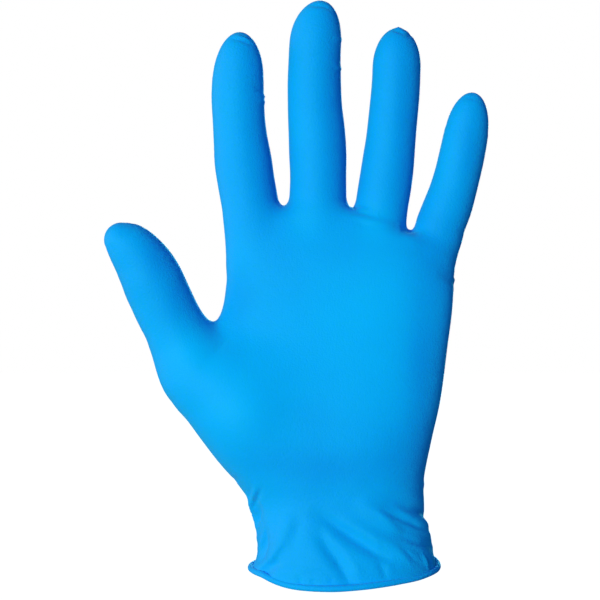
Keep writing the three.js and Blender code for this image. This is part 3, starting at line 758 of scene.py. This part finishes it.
def partInFour(points, quads, onRim):
    # Each quad becomes four, round its middle and the middles of its edges
    pairs, which = edgesOf(quads)
    n, m = len(points), len(quads)
    edge = n + which.reshape(4, m)
    centre = n + len(pairs) + np.arange(m)
    finer = np.concatenate([points, points[pairs].mean(1), points[quads].mean(1)])
    parts = [np.stack([quads[:, i], edge[i], centre, edge[i - 1]], axis=1) for i in range(4)]
    uses = np.bincount(which.ravel(), minlength=len(pairs))
    rimEdges = uses == 1
    onRimFiner = np.concatenate([onRim, rimEdges, np.zeros(m, bool)])
    rimStrip = np.concatenate([pairs[rimEdges], (n + np.flatnonzero(rimEdges))[:, None]], axis=1)
    return finer, np.concatenate(parts), onRimFiner, rimStrip


def foldedFinely(points):
    # Lifts or sinks the palm side along the paths of the finer folds, fading at their ends
    slope = slopeAt(points)
    outwards = slope / np.linalg.norm(slope, axis=1)[:, None]
    facing = np.clip((foldEnds["turnedAway"] - outwards[:, 1]) / foldEnds["turning"], 0, 1)
    start = foldEnds["fineStart"]
    lift = np.zeros(len(points))
    for fold in rowsOf(fineFolds):
        path = np.array(fold["path"])
        reach = 2 * fold["width"]
        near = facing > 0
        for k, axis in enumerate((0, 2)):
            near &= points[:, axis] > path[:, k].min() - reach
            near &= points[:, axis] < path[:, k].max() + reach
        q = points[near][:, (0, 2)]
        runs = np.diff(path, axis=0)
        lengths = np.linalg.norm(runs, axis=1)
        starts = np.concatenate([[0], np.cumsum(lengths)])
        away, along = np.full(len(q), far), np.zeros(len(q))
        for corner, run, length, passed in zip(path[:-1], runs, lengths, starts):
            t = np.clip((q - corner) @ run / length**2, 0, 1)
            apart = np.linalg.norm(q - corner - t[:, None] * run, axis=1)
            along = np.where(apart < away, (passed + t * length) / starts[-1], along)
            away = np.minimum(away, apart)
        fade = np.sin(np.pi * np.clip(start + (1 - 2 * start) * along, 0, 1))
        lift[near] += fold["rise"] * fineDepths[fold["where"]] * fade * ridge(away, fold["width"])
    return points + outwards * (lift * facing)[:, None]


def flared(points, outwards):
    # The last of the film turns out into the middle of the bead
    turn = turnOf(points[:, 0], points[:, 1])
    middle = rimPoint(turn)
    away = np.stack([np.sin(turn) * film["cuffDepth"], -np.cos(turn) * film["cuffWidth"]], axis=1)
    away /= np.linalg.norm(away, axis=1)[:, None]
    above = (points[:, 2] - middle[:, 2]) / mesh["flareHeight"]
    share = np.clip(1 - above, 0, 1)[:, None] ** 2
    target = middle[:, :2] + away * outwards
    moved = points.copy()
    moved[:, :2] += (target - points[:, :2]) * share
    return moved


# How much light or shade is painted into the film's colour at each point: positive is painted
# light, negative is painted shade
def paintedLightAndSmoothingAt(points):
    total = np.zeros(len(points))
    for place in rowsOf(paintedLightAndSmoothingPlaces):
        across = (points[:, 0] - place["across"]) / place["halfWidth"]
        up = (points[:, 2] - place["height"]) / place["halfHeight"]
        total += place["share"] * np.exp(-(across**2 + up**2))
    return total


def meshObject(name, points, faces, material):
    data = bpy.data.meshes.new(name)
    data.from_pydata((points * metre).tolist(), [], faces)
    data.polygons.foreach_set("use_smooth", [True] * len(data.polygons))
    data.materials.append(material)
    data.update()
    piece = bpy.data.objects.new(name, data)
    bpy.context.scene.collection.objects.link(piece)
    return piece


def filmMesh(material):
    points, quads, onRim = netSurface()
    points = settle(points, quads, onRim, mesh["evenings"])
    slope = slopeAt(points)
    inner = points - slope / np.linalg.norm(slope, axis=1)[:, None] * film["wall"]
    inner[onRim, 2] = points[onRim, 2]
    finer, finerQuads, onFinerRim, rimStrip = partInFour(points, quads, onRim)
    outer = foldedFinely(settle(finer, finerQuads, onFinerRim, mesh["lastEvenings"]))
    outer, inner = flared(outer, mesh["flareApart"]), flared(inner, -mesh["flareApart"])
    everyPoint = np.concatenate([outer, inner])
    n = len(outer)
    faces = finerQuads.tolist() + (quads[:, ::-1] + n).tolist()
    for a, b, middle in rimStrip.tolist():
        faces += [[a, middle, a + n], [middle, b + n, a + n], [middle, b, b + n]]
    print(f"film: {len(finerQuads)} outer and {len(quads)} inner quads")
    piece = meshObject("film", everyPoint, faces, material)
    # The painted light and shade, kept on the film as an attribute that its material reads
    paintedLightAndSmoothing = piece.data.attributes.new("paintedLightAndSmoothing", "FLOAT", "POINT")
    paintedLightAndSmoothing.data.foreach_set("value", paintedLightAndSmoothingAt(everyPoint).astype(np.float32))
    return piece


def linear(hexColour):
    # An sRGB hex value as linear red, green and blue, and a solid alpha
    parts = [int(hexColour[i:i + 2], 16) / 255 for i in (1, 3, 5)]
    return (*(c / 12.92 if c <= 0.04045 else ((c + 0.055) / 1.055) ** 2.4 for c in parts), 1.0)


def addNode(tree, kind, inputs=None, **settings):
    # Adds a node, sets its properties, then sets or links its inputs by name or number
    node = tree.nodes.new(kind)
    for name, value in settings.items():
        setattr(node, name, value)
    for name, value in (inputs or {}).items():
        if isinstance(value, bpy.types.NodeSocket):
            tree.links.new(value, node.inputs[name])
        else:
            node.inputs[name].default_value = value
    return node


nitrile = {
    "paleMottleAndPaintedLight": "#00aef8",  # the paler and the deeper blue, mixed by a random mottle and by the painted light and shade
    "deepMottleAndPaintedShade": "#0090e9",
    "mottle": 30.0,  # millimetres between paler and deeper places
    "mottleShare": 0.2,
    "paintedLightStrength": 0.5,  # how far the painted light and shade turns the colour towards the paler or the deeper blue
    "grain": 0.7,  # millimetres from pore to pore, coarser than the real skin-like grain
    "grainDepth": 0.28,  # millimetres
    "grainSmoothed": 0.5,  # how far the same value as the painted light and shade flattens the grain
    "roughness": 0.5,
    "diffuseRoughness": 0.25,
    "specular": 0.25,
    "tint": "#6ab8ff",  # of its reflections
    "sheen": 0.05,
}


def nitrileFilm():
    # Dipped nitrile rubber, chlorinated inside and left matt-satin outside: a saturated blue with a
    # random mottle, painted light and painted shade, a soft sheen towards the edges and a fine
    # grain like skin
    material = bpy.data.materials.new("dippedNitrile")
    material.use_nodes = True
    tree = material.node_tree
    shader = tree.nodes["Principled BSDF"]
    place = addNode(tree, "ShaderNodeTexCoord").outputs["Object"]
    mottle = addNode(tree, "ShaderNodeTexNoise", {
        "Vector": place, "Scale": 1 / (nitrile["mottle"] * metre), "Detail": 2.0,
    })
    uneven = addNode(tree, "ShaderNodeMapRange", {
        "Value": mottle.outputs["Fac"], "From Min": 0.3, "From Max": 0.7,
        "To Min": 0.5 - nitrile["mottleShare"] / 2, "To Max": 0.5 + nitrile["mottleShare"] / 2,
    })
    # Painted light and shade: the attribute makes the film's colour paler or deeper, on top of the
    # random mottle, and also weakens the grain
    paintedLightAndSmoothing = addNode(tree, "ShaderNodeAttribute", attribute_name="paintedLightAndSmoothing")
    paintedLightAndMottle = addNode(tree, "ShaderNodeMath", {
        0: paintedLightAndSmoothing.outputs["Fac"], 1: nitrile["paintedLightStrength"], 2: uneven.outputs["Result"],
    }, operation="MULTIPLY_ADD")
    colour = addNode(tree, "ShaderNodeMix", {
        "Factor": paintedLightAndMottle.outputs[0], 6: linear(nitrile["deepMottleAndPaintedShade"]), 7: linear(nitrile["paleMottleAndPaintedLight"]),
    }, data_type="RGBA")
    grain = addNode(tree, "ShaderNodeTexNoise", {
        "Vector": place, "Scale": 1 / (nitrile["grain"] * metre), "Detail": 3.0, "Roughness": 0.6,
    })
    smoothed = addNode(tree, "ShaderNodeMath", {
        0: paintedLightAndSmoothing.outputs["Fac"], 1: -nitrile["grainSmoothed"], 2: 1.0,
    }, operation="MULTIPLY_ADD", use_clamp=True)
    bump = addNode(tree, "ShaderNodeBump", {
        "Height": grain.outputs["Fac"], "Distance": nitrile["grainDepth"] * metre,
        "Strength": smoothed.outputs[0],
    })
    tree.links.new(colour.outputs[2], shader.inputs["Base Color"])
    tree.links.new(bump.outputs["Normal"], shader.inputs["Normal"])
    shader.inputs["Roughness"].default_value = nitrile["roughness"]
    shader.inputs["Diffuse Roughness"].default_value = nitrile["diffuseRoughness"]
    shader.inputs["Specular IOR Level"].default_value = nitrile["specular"]
    shader.inputs["Specular Tint"].default_value = linear(nitrile["tint"])
    shader.inputs["Sheen Weight"].default_value = nitrile["sheen"]
    return material


# The bead: several turns of film rolled up on themselves, never quite even
bead = {
    "diameter": 2.6,  # millimetres
    "rimPoints": 96,
    "sections": 320,
    "sides": 20,
    "unevenness": 0.16,  # as a share of the diameter
    "waves": 9.0,  # millimetres from thick to thin
    "seed": 4.0,
}


def beadTree(material):
    tree = bpy.data.node_groups.new("rolledBead", "GeometryNodeTree")
    face = tree.interface
    face.new_socket("Geometry", in_out="OUTPUT", socket_type="NodeSocketGeometry")
    face.new_socket("Rim", in_out="INPUT", socket_type="NodeSocketGeometry")
    for name, kind in (
        ("Radius", "NodeSocketFloat"),
        ("Sections", "NodeSocketInt"),
        ("Sides", "NodeSocketInt"),
        ("Unevenness", "NodeSocketFloat"),
        ("Waves", "NodeSocketFloat"),
        ("Seed", "NodeSocketFloat"),
    ):
        face.new_socket(name, in_out="INPUT", socket_type=kind)
    given = addNode(tree, "NodeGroupInput").outputs
    line = addNode(tree, "GeometryNodeMeshToCurve", {"Mesh": given["Rim"]})
    even = addNode(tree, "GeometryNodeResampleCurve", {
        "Curve": line.outputs["Curve"], "Count": given["Sections"],
    })
    place = addNode(tree, "GeometryNodeInputPosition")
    scale = addNode(tree, "ShaderNodeMath", {0: 1.0, 1: given["Waves"]}, operation="DIVIDE")
    noise = addNode(tree, "ShaderNodeTexNoise", {
        "Vector": place.outputs[0], "W": given["Seed"], "Scale": scale.outputs[0], "Detail": 1.0,
    }, noise_dimensions="4D")
    swing = addNode(tree, "ShaderNodeMath", {0: noise.outputs["Fac"], 1: 0.5}, operation="SUBTRACT")
    swell = addNode(tree, "ShaderNodeMath", {
        0: swing.outputs[0], 1: given["Unevenness"], 2: 1.0,
    }, operation="MULTIPLY_ADD")
    section = addNode(tree, "GeometryNodeCurvePrimitiveCircle", {
        "Resolution": given["Sides"], "Radius": given["Radius"],
    })
    swept = addNode(tree, "GeometryNodeCurveToMesh", {
        "Curve": even.outputs[0],
        "Profile Curve": section.outputs["Curve"],
        "Scale": swell.outputs[0],
    })
    smooth = addNode(tree, "GeometryNodeSetShadeSmooth", {"Geometry": swept.outputs["Mesh"]})
    real = addNode(tree, "GeometryNodeRealizeInstances", {"Geometry": smooth.outputs[0]})
    painted = addNode(tree, "GeometryNodeSetMaterial", {
        "Geometry": real.outputs[0], "Material": material,
    })
    addNode(tree, "NodeGroupOutput", {"Geometry": painted.outputs[0]})
    return tree


def throughNodes(name, source, tree, inputs):
    # Runs a node tree on a mesh and keeps the result as a plain mesh
    carrier = bpy.data.objects.new(name, source)
    bpy.context.scene.collection.objects.link(carrier)
    modifier = carrier.modifiers.new("nodes", "NODES")
    modifier.node_group = tree
    for item in tree.interface.items_tree:
        if item.item_type == "SOCKET" and item.in_out == "INPUT" and item.name in inputs:
            modifier[item.identifier] = inputs[item.name]
    finished = carrier.evaluated_get(bpy.context.evaluated_depsgraph_get())
    made = bpy.data.meshes.new_from_object(finished)
    carrier.modifiers.clear()
    carrier.data = made
    made.name = name
    return carrier


def beadMesh(material):
    count = bead["rimPoints"]
    turns = np.linspace(0, 2 * np.pi, count, endpoint=False)
    loop = [(i, (i + 1) % count) for i in range(count)]
    line = bpy.data.meshes.new("rimLine")
    line.from_pydata((rimPoint(turns) * metre).tolist(), loop, [])
    piece = throughNodes("cuff_bead", line, beadTree(material), {
        "Radius": bead["diameter"] / 2 * metre,
        "Sections": bead["sections"],
        "Sides": bead["sides"],
        "Unevenness": bead["unevenness"],
        "Waves": bead["waves"] * metre,
        "Seed": bead["seed"],
    })
    print(f"bead: {len(piece.data.polygons)} faces")
    return piece


rubber = nitrileFilm()
filmPiece = filmMesh(rubber)
beadPiece = beadMesh(rubber)
for piece in (filmPiece, beadPiece):
    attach(piece, "root")
    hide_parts("glove")

# The studio, in metres: a pale floor under the glove, and soft light mostly from the left front
studio = {
    "middle": (-0.018, 0.0, 0.108),
    "floorDrop": 0.7,
    "floorSize": 40.0,
    "floorColour": "#fbfbfb",
    "cameraDistance": 0.9,
    "sensorWidth": 36.0,  # millimetres
    "photoWidth": 0.2441,  # of the picture at the glove's middle
    "surroundings": "#50cfff",
    "surroundingsStrength": 0.185,
}

# Soft boxes, placed from the middle of the glove and tinted to bring out the film's blues
lamps = [
    ("name", "offset", "size", "watts", "colour"),
    ("key", (-1.0, -1.6, 0.0), 0.9, 41.0, "#ffffc6"),
    ("front", (-0.5, -1.8, 0.35), 0.9, 10.0, "#0000ff"),
    ("left", (-1.7, 0.1, 0.2), 1.2, 12.0, "#ffa0bc"),
    ("right", (1.6, -0.7, 0.0), 1.2, 2.8, "#20ffff"),
    ("back", (0.3, 1.9, 0.3), 0.9, 18.0, "#50f4ff"),
]


def softBox(name, offset, size, watts, colour):
    lamp = bpy.data.lights.new(name, "AREA")
    lamp.shape = "SQUARE"
    lamp.size = size
    lamp.energy = watts
    lamp.color = linear(colour)[:3]
    holder = bpy.data.objects.new(name, lamp)
    holder.visible_camera = False  # it lights the glove and stays out of the picture
    bpy.context.scene.collection.objects.link(holder)
    holder.location = Vector(studio["middle"]) + Vector(offset)
    holder.rotation_euler = Vector(offset).to_track_quat("Z", "Y").to_euler()


def paleFloor():
    half = studio["floorSize"] / 2
    drop = studio["middle"][2] - studio["floorDrop"]
    corners = [(-half, -half, drop), (half, -half, drop), (half, half, drop), (-half, half, drop)]
    data = bpy.data.meshes.new("floor")
    data.from_pydata(corners, [], [(0, 1, 2, 3)])
    floor = bpy.data.objects.new("floor", data)
    bpy.context.scene.collection.objects.link(floor)
    paint = bpy.data.materials.new("mattWhitePaint")
    paint.use_nodes = True
    shader = paint.node_tree.nodes["Principled BSDF"]
    shader.inputs["Base Color"].default_value = linear(studio["floorColour"])
    shader.inputs["Roughness"].default_value = 1.0
    shader.inputs["Emission Color"].default_value = (1, 1, 1, 1)
    shader.inputs["Emission Strength"].default_value = 1.0
    data.materials.append(paint)
    floor.visible_diffuse = False
    floor.visible_glossy = False


def paleWorld():
    world = bpy.data.worlds.new("studio")
    bpy.context.scene.world = world
    world.use_nodes = True
    tree = world.node_tree
    tree.nodes.clear()
    seen = addNode(tree, "ShaderNodeBackground", {"Color": (1, 1, 1, 1), "Strength": 1.0})
    light = addNode(tree, "ShaderNodeBackground", {
        "Color": linear(studio["surroundings"]), "Strength": studio["surroundingsStrength"],
    })
    path = addNode(tree, "ShaderNodeLightPath")
    either = addNode(tree, "ShaderNodeMixShader", {
        0: path.outputs["Is Camera Ray"], 1: light.outputs[0], 2: seen.outputs[0],
    })
    addNode(tree, "ShaderNodeOutputWorld", {"Surface": either.outputs[0]})


def photoCamera():
    lens = bpy.data.cameras.new("camera")
    lens.sensor_width = studio["sensorWidth"]
    lens.lens = lens.sensor_width * studio["cameraDistance"] / studio["photoWidth"]
    camera = bpy.data.objects.new("camera", lens)
    bpy.context.scene.collection.objects.link(camera)
    camera.location = Vector(studio["middle"]) - Vector((0, studio["cameraDistance"], 0))
    camera.rotation_euler = (math.pi / 2, 0, 0)
    bpy.context.scene.camera = camera


paleFloor()
paleWorld()
for row in rowsOf(lamps):
    softBox(**row)
photoCamera()
bpy.context.scene.view_settings.view_transform = "Standard"
print("studio: floor, light and camera are in place")
